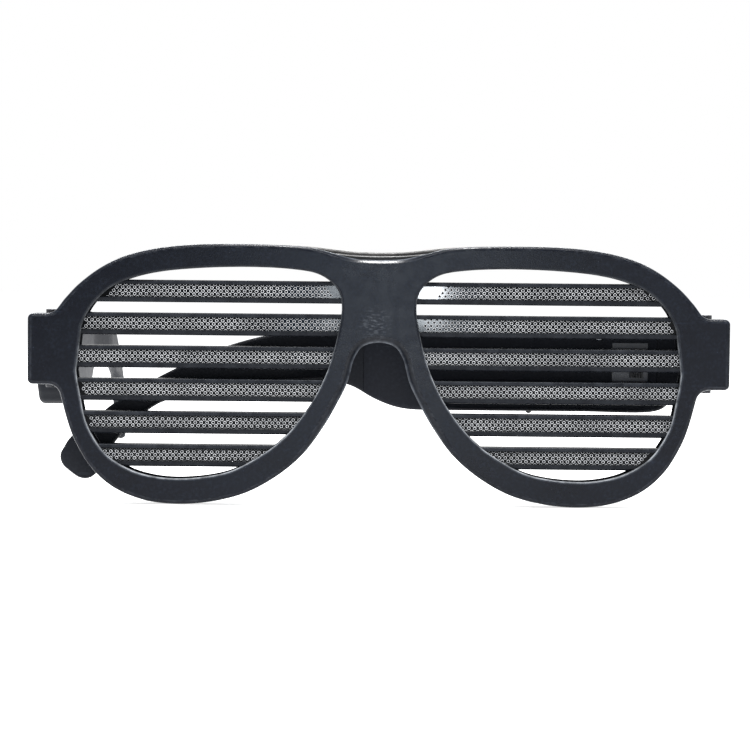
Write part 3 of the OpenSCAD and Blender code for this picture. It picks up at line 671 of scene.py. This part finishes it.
# A lenslet is turned round its centre: its height and its painted highlight rise to a ring and fall to a
# hollow middle
def lensletGrid(centres):
    radius, height, paintedHighlight = np.array(lens["profile"], float).T
    a = np.linspace(0, 2 * pi, lens["segments"], endpoint=False)
    x = centres[:, 0][:, None, None] + lens["radius"] * radius[:, None] * np.cos(a)
    z = centres[:, 1][:, None, None] + lens["radius"] * radius[:, None] * np.sin(a)
    y = np.broadcast_to(lens["height"] * height[:, None], x.shape)
    return np.stack([x, y, z], -1), paintedHighlight


# Rows go down at an even gap, and centres stand a pitch apart between the ends of each row. The outer rows
# get less of the painted highlight.
def lensletCentres(sideName, i, key, zLow, zTop):
    centres, shine = [], []
    over = lens["radius"] * lens["rowOverhang"]
    blank, inset = lens["blankEnd"].get(key, 0), lens["outerInset"][sideName][i - 1]
    along = np.arange(0, rim["halfWidth"], lens["pitch"]) + (i % 3) * lens["rowPhase"]
    for k in range(-1, int((zTop - zLow) / lens["rowGap"]) + 3):
        z = zTop - lens["firstRow"] - k * lens["rowGap"]
        if not zLow - over <= z <= zTop + over:
            continue
        start, end = spanAt(np.clip(z, zLow, zTop), lens["margin"])
        x = along + (k % 2) * lens["pitch"] / 2
        x = x[(x > start + blank) & (x < end - inset)]
        centres.append(np.column_stack([x, np.full(len(x), z)]))
        outer = abs(z - (zLow + zTop) / 2) > lens["middleRows"]
        shine.append(np.full(len(x), lens["shineOf"].get(key, lens["outerShine"]) if outer else 1.0))
    return np.vstack(centres), np.concatenate(shine)


# A plain body whose section is carried over four stations, with a lenslet on its face at every centre. The
# first two stations carry a painted highlight on a blank end that has one, and lenslets end level at the long
# edges.
def clearStrip(sideName, i):
    side, key = sides[sideName], "%s_%d" % (sideName, i)
    name = "clearStrip_" + key
    zTop = barZ(i) + bar["height"] / 2 - bar["topWall"] - lens["stripFit"]
    zLow = barZ(i) - bar["height"] / 2 + bar["bottomWall"] + lens["stripFit"]
    yFace = bar["recess"] + bar["stripBack"]
    low, high = spanAt(np.array([zLow, zTop]), bar["stripSeat"])
    nose, outer = low[[0, 1, 1, 0]], high[[0, 1, 1, 0]]
    reach = lens["blankEnd"].get(key, 1.0)
    x = np.stack([nose] + [nose + f * reach for f in lens["paintedHighlightReach"]] + [outer])
    y = np.broadcast_to(yFace + np.array([0, 0, 1, 1]) * bar["stripDepth"], x.shape)
    z = np.broadcast_to([zLow, zTop, zTop, zLow], x.shape)
    plain = np.stack([x, y, z], -1).reshape(-1, 3)
    # the blank end's painted highlight, on the first two stations
    glow = np.repeat(lens["paintedHighlightEnd"].get(key, 0) * np.array([1, 1, 0, 0]), 4)
    faces = gridQuads(4, 4, closed=True)[:, ::-1].tolist() + [[0, 1, 2, 3], [15, 14, 13, 12]]

    centres, shine = lensletCentres(sideName, i, key, zLow, zTop)
    p, marks = lensletGrid(centres)
    p[..., 2] = np.clip(p[..., 2], zLow + lens["edgeClear"], zTop - lens["edgeClear"])
    p[..., 1] = yFace + lens["sink"] - p[..., 1]
    count, rows, cols = p.shape[:3]
    start = len(plain) + (np.arange(count) * rows * cols)[:, None]
    faces += (start[..., None] + gridQuads(rows, cols, closed=True)).reshape(-1, 4).tolist()
    faces += (start + (rows - 1) * cols + np.arange(cols)).tolist() + (start + np.arange(cols)[::-1]).tolist()
    # each lenslet's painted highlight, less on the outer rows
    paintedHighlight = np.broadcast_to(np.outer(shine, marks)[..., None], p.shape[:3]).reshape(-1)
    points = np.vstack([plain, p.reshape(-1, 3)]) * [side, 1, 1]
    data = bpy.data.meshes.new(name)
    data.from_pydata((points * mm).tolist(), [], faces if side > 0 else [f[::-1] for f in faces])
    data.attributes.new("paintedHighlight", "FLOAT", "POINT").data.foreach_set("value", np.concatenate([glow, paintedHighlight]))
    newPiece(name, data, "frame", [finish["lens"]], ["clear_strip_" + key], lens["sharp"])
    return len(faces)


stripFaces = sum(clearStrip(sideName, i) for sideName in sides for i in range(1, bar["count"] + 1))
print("clear strips: %d faces with their lenslets" % stripFaces)

# The temples: rounded rectangles between an upper and a lower edge, which bow in towards the head behind the
# body. Their own frame starts at the hinge: t is the depth from the inner face, s the way back and z up.
temple = dict(
    hinge=(76, 14.8), axis=2.5, body=6.5, arm=3.0, bow=3.3, bowS=(80, 100), butt=-4.0,
    round=1.1, leastFlat=0.05, merge=0.0005, sharp=32,
    up=[(-4, 11.9), (4, 12.2), (9, 12.2), (14, 12.2), (30, 12.2), (60, 12.2), (72, 12.1), (76.5, 12),
        (82, 11.7), (90, 10.9), (102, 8.5), (112, 5.6), (122, 1.1), (130, -3.1), (137.5, -7.8), (142.5, -12),
        (146.8, -15.2), (148.7, -18)],
    low=[(-4, -2.3), (4, -2.5), (8, -6), (13, -8.6), (30, -8.6), (60, -8.6), (70, -8.3), (76.4, -6.3),
         (82.6, -3), (89, -1.9), (100, -2.2), (109, -3.2), (118, -4.9), (126.5, -7.4), (132.3, -11.8),
         (136.2, -15.8), (138.9, -20), (141.1, -23.8)],
    edgeSteps=8, roundSteps=6,
    tip=3.2, tipWay=(0.63, -0.776), tipThin=0.9, tipAngles=[12, 25, 38, 51, 64, 77, 86, 90],
    cover=(11.5, 79.5), coverDepth=1.6, fit=0.1, cavity=dict(s=(13.5, 69.5), z=(-7.2, 10.8), depth=5.3),
    screws=[(25, 9.4), (71.5, 9.4), (25, -4.8)], screwHole=1.4,
    ears=(-3.2, 0.0, 9.9, 13.1), gap=0.3, knuckle=2.2, knuckleRoom=0.4, pinBore=1.05, buttRound=3.95,
    past=2, tall=(-20, 20))
# What only the right temple has: the switch's recess and slot in the cover, and two holes in the lower wall
control = dict(recess=dict(s=(13.6, 21.9), z=(-2.1, 7.4), depth=0.6, near=0.01),
               slot=dict(s=(15.3, 20.1), z=(1.2, 3.1)),
               button=dict(t=3.4, s=41, radius=0.8),
               socket=dict(t=(1.75, 4.25), s=(52.1, 59.9)), lowerWall=(-9.6, -6))


# A station is a rounded rectangle whose corners lie on the two edge points; its thickness narrows from body
# to arm. The last stations draw in round a quarter circle and close the tip.
def templeRings():
    t = temple
    up, low = throughKnots(t["up"], t["edgeSteps"]), throughKnots(t["low"], t["edgeSteps"])
    a = np.radians(t["tipAngles"])[:, None]
    grow = t["tip"] * np.sin(a) * t["tipWay"]
    draw = t["tip"] * (1 - np.cos(a)) * unit(up[-1] - low[-1])
    thin = np.concatenate([np.zeros(len(up)), t["tipThin"] * (1 - np.cos(a[:, 0]))])
    up, low = np.vstack([up, up[-1] + grow - draw]), np.vstack([low, low[-1] + grow + draw])
    k = rise((up + low)[:, 0] / 2, *t["bowS"])
    t0 = -t["bow"] * k + thin
    t1 = t["body"] + (t["arm"] - t["bow"] - t["body"]) * k - thin
    r = np.minimum(t["round"], (t1 - t0) / 2 - t["leastFlat"])[:, None]
    v = unit(up - low)
    corners = []
    for across, along, start in ((t0[:, None] + r, low + v * r, 180), (t1[:, None] - r, low + v * r, 270),
                                 (t1[:, None] - r, up - v * r, 0), (t0[:, None] + r, up - v * r, 90)):
        a = np.radians(start + np.linspace(0, 90, t["roundSteps"]))
        q = along[:, None, :] + v[:, None, :] * (r * np.sin(a))[..., None]
        corners.append(np.concatenate([(across + r * np.cos(a) - t["axis"])[..., None], q], -1))
    return np.concatenate(corners, 1)


# The temple's whole solid
def templeSolid():
    s = Surface()
    s.add(templeRings(), closed=True, caps=True)
    return s.mesh("temple", temple["merge"])


# A closed box between pairs of limits in the temple's own frame
def boxMesh(t, s, z):
    t = np.array(t) - temple["axis"]
    ring = [(t[0], s[0]), (t[1], s[0]), (t[1], s[1]), (t[0], s[1])]
    box = Surface()
    box.add([np.column_stack([ring, np.full(4, level)]) for level in z], closed=True, caps=True)
    return box.mesh("box")


# A closed drum about an upright line, or with across about one through the temple's thickness
def drumMesh(centre, radius, levels, across=False, facets=40):
    a = np.linspace(0, 2 * pi, facets, endpoint=False)
    ring = centre + radius * np.column_stack([np.cos(a), np.sin(a)])
    rings = np.array([np.column_stack([ring, np.full(facets, level)]) for level in levels])
    drum = Surface()
    drum.add(np.roll(rings, 1, -1) if across else rings, closed=True, caps=True)
    return drum.mesh("drum")


# One boolean step on closed meshes, all cutters in turn; the result is a plain mesh
def cutMesh(data, cutters, operation="DIFFERENCE"):
    solid, *tools = [addObject("scratch", mesh) for mesh in [data] + cutters]
    for tool in tools:
        m = solid.modifiers.new("cut", "BOOLEAN")
        m.operation = operation
        m.solver = "EXACT"
        m.object = tool
    result = bpy.data.meshes.new_from_object(solid.evaluated_get(bpy.context.evaluated_depsgraph_get()))
    for o in [solid] + tools:
        bpy.data.objects.remove(o)
    return result


# The shell is the solid less the cover's seat, the gaps beside the knuckle, the pin's bore and the hollow,
# and the cover is what the solid and the seat share. Cutters reach past what they cut.
def buildTemple(side):
    t = temple
    a, past, tall, depth = t["axis"], t["past"], t["tall"], t["coverDepth"]
    foot, earLow, earHigh, head = t["ears"]
    room = t["knuckle"] + t["knuckleRoom"]
    butt = t["butt"] - past
    c = t["cavity"]
    cuts = [boxMesh((-past, depth + t["fit"]), t["cover"], tall),
            boxMesh((-past, a + room), (butt, room), (foot - past, earLow + t["gap"])),
            boxMesh((-past, a + room), (butt, room), (earHigh - t["gap"], head + past)),
            drumMesh((0, 0), t["pinBore"], (foot - past, head + past)),
            boxMesh((-past, c["depth"]), c["s"], c["z"])]
    if side > 0:
        b, k = control["button"], control["socket"]
        cuts.append(drumMesh((b["t"] - a, b["s"]), b["radius"], control["lowerWall"]))
        cuts.append(boxMesh(k["t"], k["s"], control["lowerWall"]))
    shell = cutMesh(templeSolid(), cuts)
    # the butt end is round where the knuckle turns against the lug
    corner = boxMesh((-past, a), (butt, 0), (foot - past, head + past))
    drum = drumMesh((0, 0), t["buttRound"], (foot - 2 * past, head + 2 * past), facets=64)
    shell = cutMesh(shell, [cutMesh(corner, [drum])])

    seat = boxMesh((-past, depth), (t["cover"][0] + t["fit"], t["cover"][1] - t["fit"]), tall)
    holes = [drumMesh(p, t["screwHole"], (-past - a, t["screwHole"] - a), across=True) for p in t["screws"]]
    if side > 0:
        k, w = control["recess"], control["slot"]
        holes.append(boxMesh((-past, k["depth"]), k["s"], k["z"]))
        holes.append(boxMesh((-past, depth + past), w["s"], w["z"]))
    return shell, cutMesh(cutMesh(templeSolid(), [seat], "INTERSECT"), holes)


# The recess's floor takes the cover's second finish: faces at the recess's depth, within its limits
def markRecess(cover):
    k = control["recess"]
    centres = np.empty(3 * len(cover.polygons))
    cover.polygons.foreach_get("center", centres)
    t, s, z = centres.reshape(-1, 3).T / mm
    floor = np.abs(t + temple["axis"] - k["depth"]) < k["near"]
    for value, limits in ((s, k["s"]), (z, k["z"])):
        floor &= (value > limits[0]) & (value < limits[1])
    cover.polygons.foreach_set("material_index", floor.astype(np.int32))


# From the temple's own frame to its place at rest: the right one lies folded behind the frame and the left
# one is open
def placeTemple(data, side):
    p = np.empty(3 * len(data.vertices))
    data.vertices.foreach_get("co", p)
    p = p.reshape(-1, 3)
    hx, hy = np.array(temple["hinge"]) * mm
    if side > 0:
        p = np.column_stack([hx - p[:, 1], hy + p[:, 0], p[:, 2]])
    else:
        p = np.column_stack([-hx - p[:, 0], hy + p[:, 1], p[:, 2]])
        data.flip_normals()
    data.vertices.foreach_set("co", p.reshape(-1))
    data.update()
    return data


for sideName, side in sides.items():
    body = "temple_" + sideName
    shell, cover = buildTemple(side)
    coverLooks = [finish["cover"]]
    if side > 0:
        markRecess(cover)
        coverLooks.append(finish["recess"])
    newPiece("templeShell_" + sideName, placeTemple(shell, side), body, [finish["temple"]],
             [body + "_shell"], temple["sharp"])
    newPiece("templeCover_" + sideName, placeTemple(cover, side), body, coverLooks,
             [body + "_cover"], temple["sharp"])
    print("%s temple: %d and %d faces" % (sideName, len(shell.polygons), len(cover.polygons)))

# Pieces that keep their node's shape with softer edges: node, body, finish, slot and the width of the round
small = dict(hingeBlockLeft=("hinge_block_left", "frame", "rear", "rear_plastic", 0.28),
             hingeBlockRight=("hinge_block_right", "frame", "rear", "rear_plastic", 0.28),
             hingePinLeft=("hinge_pin_left", "frame", "pin", "pin_metal", 0.22),
             hingePinRight=("hinge_pin_right", "frame", "pin", "pin_metal", 0.22),
             powerSlider=("power_slider", "power_slider", "control", "control_plastic", 0.08),
             chargingSocket=("charging_socket", "temple_right", "tin", "socket_metal", 0.06),
             battery=("battery", "temple_left", "battery", "battery_wrap", 0.5))
softAngle, flatAngle, sameMerge = 30, 1, 0.004


# A CAD solid with its triangles merged back into whole faces and a small round on every edge
def softened(name, node, body, look, slot, width):
    data = nodes[node].data.copy()
    data.name = name
    b = bmesh.new()
    b.from_mesh(data)
    bmesh.ops.remove_doubles(b, verts=b.verts, dist=sameMerge * mm)
    bmesh.ops.dissolve_limit(b, angle_limit=radians(flatAngle), verts=b.verts, edges=b.edges)
    b.to_mesh(data)
    b.free()
    data.materials.clear()
    softEdges(newPiece(name, data, body, [finish[look]], [node], softAngle), width, softAngle)


for name, row in small.items():
    softened(name, *row)

# The rest of the CAD solids stay and only take their finish
looks = dict(frame_screws="screw", temple_left_screws="screw", temple_right_screws="screw", rim_flex="flex",
             led_board_left="board", led_board_right="board", leds_left="led", leds_right="led",
             control_board="board", power_switch="tin", mode_switch="tin", mode_button="control",
             battery_pad="foam")
for node, look in looks.items():
    for s in nodes[node].material_slots:
        s.material = finish[look]
print("small pieces: %d softened, %d finished as they are" % (len(small), len(looks)))

# The photograph's view: straight on, a little from above, slightly rolled
photo = dict(size=750, mmPerPixel=0.2276, distance=700, above=2.4, roll=0.54, centre=(378.5, 375.0),
             sensor=36, clip=(0.01, 50))


# The camera stands back from the picture's middle along the line of sight, and its lens gives the scale at
# the origin
def addCamera():
    p = photo
    data = bpy.data.cameras.new("camera")
    data.sensor_width = p["sensor"]
    data.lens = p["sensor"] * p["distance"] / (p["size"] * p["mmPerPixel"])
    data.clip_start, data.clip_end = p["clip"]
    e, r = radians(p["above"]), radians(p["roll"])
    back = Vector((0, -cos(e), sin(e)))
    right, up = Vector((1, 0, 0)), Vector((0, sin(e), cos(e)))
    across = (p["size"] / 2 - p["centre"][0]) * p["mmPerPixel"]
    aloft = (p["centre"][1] - p["size"] / 2) * p["mmPerPixel"]
    spot = right * across + up * aloft + back * p["distance"]
    turn = Matrix((right * cos(r) + up * sin(r), up * cos(r) - right * sin(r), back)).transposed().to_4x4()
    camera = addObject("camera", data)
    camera.matrix_world = Matrix.Translation(spot * mm) @ turn
    bpy.context.scene.camera = camera


addCamera()

# Floor and world: lit like any pale surface, but the camera also sees light of their own, which clips it
stage = dict(floorDepth=-30.1, floorSize=6000, floorColour=(0.82, 0.82, 0.82, 1), floorGlow=0.75,
             fill=(0.92, 0.96, 1.0, 1), fillStrength=0.33, white=(1, 1, 1, 1))


# Light meets the first shader, and rays from the camera, a gloss or a clear piece meet the second: the
# largest of the three ray marks is the share
def showBackdrop(tree, lit, seen, kind="ShaderNodeOutputMaterial"):
    path = addNode(tree, "ShaderNodeLightPath")
    share = path.outputs["Is Camera Ray"]
    for name in ("Is Glossy Ray", "Is Transmission Ray"):
        either = addNode(tree, "ShaderNodeMath", operation="MAXIMUM")
        join(tree, share, either.inputs[0])
        join(tree, path.outputs[name], either.inputs[1])
        share = either.outputs[0]
    mix = addNode(tree, "ShaderNodeMixShader")
    join(tree, share, mix.inputs[0])
    join(tree, lit.outputs[0], mix.inputs[1])
    join(tree, seen.outputs[0], mix.inputs[2])
    show(tree, mix, kind)


# A level square under the rims
def addFloor():
    h, z = stage["floorSize"] / 2, stage["floorDepth"]
    s = Surface()
    s.add([[(-h, -h, z), (h, -h, z)], [(-h, h, z), (h, h, z)]])
    data = s.mesh("floor")
    m, tree = newMaterial("floorWhite")
    plain = addNode(tree, "ShaderNodeBsdfDiffuse", in_Color=stage["floorColour"])
    glow = addNode(tree, "ShaderNodeEmission", in_Strength=stage["floorGlow"])
    bright = addNode(tree, "ShaderNodeAddShader")
    join(tree, plain.outputs[0], bright.inputs[0])
    join(tree, glow.outputs[0], bright.inputs[1])
    showBackdrop(tree, plain, bright)
    data.materials.append(m)
    addObject("floor", data)


# A pale fill from all round
def addWorld():
    world = bpy.data.worlds.new("studio")
    bpy.context.scene.world = world
    world.use_nodes = True
    tree = world.node_tree
    tree.nodes.clear()
    fill = addNode(tree, "ShaderNodeBackground", in_Color=stage["fill"], in_Strength=stage["fillStrength"])
    white = addNode(tree, "ShaderNodeBackground", in_Color=stage["white"], in_Strength=1.0)
    showBackdrop(tree, fill, white, "ShaderNodeOutputWorld")


# Soft boxes: place, aim, width and height in metres, power in watts and colour
lamps = dict(overhead=((0, -0.45, 0.8), (0, 0.02, 0), (1.2, 0.05), 10.0, (1, 1, 1)),
             back=((0, 0.75, 0.6), (0, 0.05, 0), (0.9, 0.06), 5.0, (1, 1, 1)),
             crown=((0, -0.04, 0.9), (0, 0, 0), (0.06, 0.16), 10.5, (1, 1, 1)),
             nearCamera=((0.0324, -1.19, -0.0044), (0, 0, 0.01), (0.019, 0.0286), 0.36, (0.88, 0.95, 1)),
             nearCameraLeft=((-0.027, -1.19, -0.0044), (0, 0, 0.01), (0.006, 0.0286), 0.09, (0.88, 0.95, 1)),
             glow=((0, -1.2, -0.012), (0, 0, 0.014), (0.12, 0.12), 0.17, (0.2, 0.5, 1)),
             sideGlow=((0.22, -1.2, -0.02), (0, 0, 0), (0.12, 0.3), 0.2, (1, 0.97, 0.95)))


# Each box stands at its place and is turned to its aim
def addLamps():
    for name, (spot, aim, size, power, colour) in lamps.items():
        data = bpy.data.lights.new(name, "AREA")
        data.shape = "RECTANGLE"
        data.size, data.size_y = size
        data.energy = power
        data.color = colour
        lamp = addObject(name, data)
        lamp.location = spot
        lamp.rotation_euler = (Vector(aim) - Vector(spot)).to_track_quat("-Z", "Y").to_euler()


addFloor()
addWorld()
addLamps()
bpy.context.scene.view_settings.view_transform = "Standard"
print("stage, lamps and camera set")
